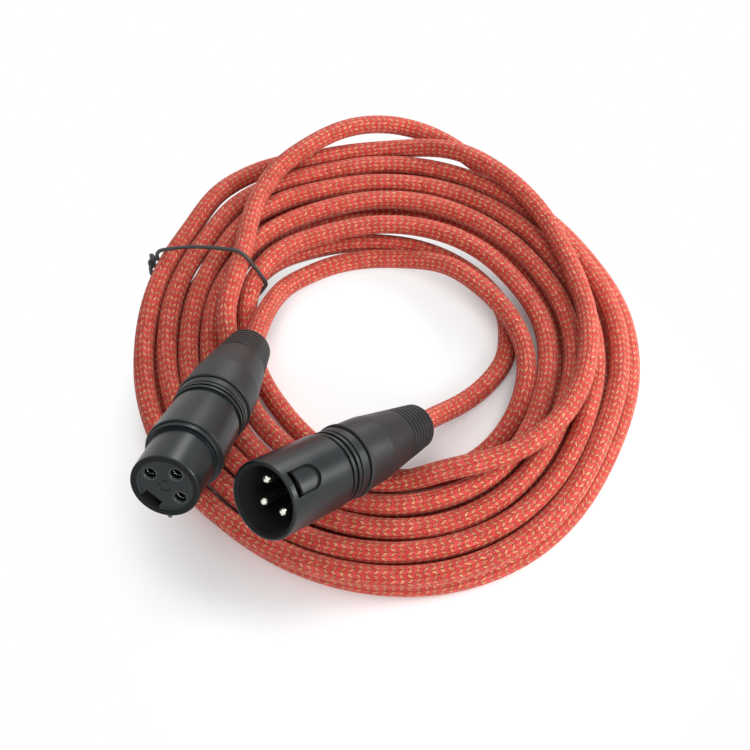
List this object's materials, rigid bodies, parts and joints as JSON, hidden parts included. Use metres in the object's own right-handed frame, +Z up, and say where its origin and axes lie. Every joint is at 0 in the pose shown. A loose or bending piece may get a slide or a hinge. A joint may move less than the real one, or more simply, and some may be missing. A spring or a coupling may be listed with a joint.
{
  "type": "balanced audio cable",
  "caption": "Braided balanced audio cable, coiled and tied, with a three-pin male plug on one end and a latching three-hole female plug on the other.",
  "frame": {"origin": "middle of the box round the coil and its plugs, on the ground", "axes": "+Z up from the ground the coil lies on; -Y is the side that both plugs face"},
  "size_m": [0.1478, 0.1606, 0.0579],
  "materials": {
    "braid": "red braided textile jacket with pale gold flecks",
    "elastic": "black elastic cord",
    "shell": "satin black plating",
    "insert": "smooth black moulding",
    "contact": "silver plated",
    "ring": "black moulding",
    "clamp": "black moulding",
    "boot": "matt black rubber",
    "wire": "insulated cores",
    "latch": "black moulding",
    "spring_steel": "bare spring steel"
  },
  "bodies": {
    "cable": {"cable_coil": "braid", "male_tail": "braid", "female_tail": "braid", "tie_band": "elastic", "tie_knot": "elastic", "male_shell": "shell", "male_insert": "insert", "male_pin_1": "contact", "male_pin_2": "contact", "male_pin_3": "contact", "male_ring": "ring", "male_chuck": "clamp", "male_boot": "boot", "male_cord_end": "braid", "male_wires": "wire", "female_shell": "shell", "female_insert": "insert", "female_socket_1": "contact", "female_socket_2": "contact", "female_socket_3": "contact", "female_latch_pin": "spring_steel", "female_latch_spring": "spring_steel", "female_ring": "ring", "female_chuck": "clamp", "female_boot": "boot", "female_cord_end": "braid", "female_wires": "wire"},
    "latch": {"female_latch": "latch"}
  },
  "joints": [
    {"name": "latch_press", "type": "hinge", "parent": "cable", "child": "latch", "pos_m": [-0.04972, -0.05248, 0.03411], "axis": [-0.7391, 0.4376, 0.5121], "range_deg": [0, 4], "stiffness_Nm_per_rad": 0.5, "springref_deg": -2.86, "deforming": ["female_latch_spring"]}
  ]
}
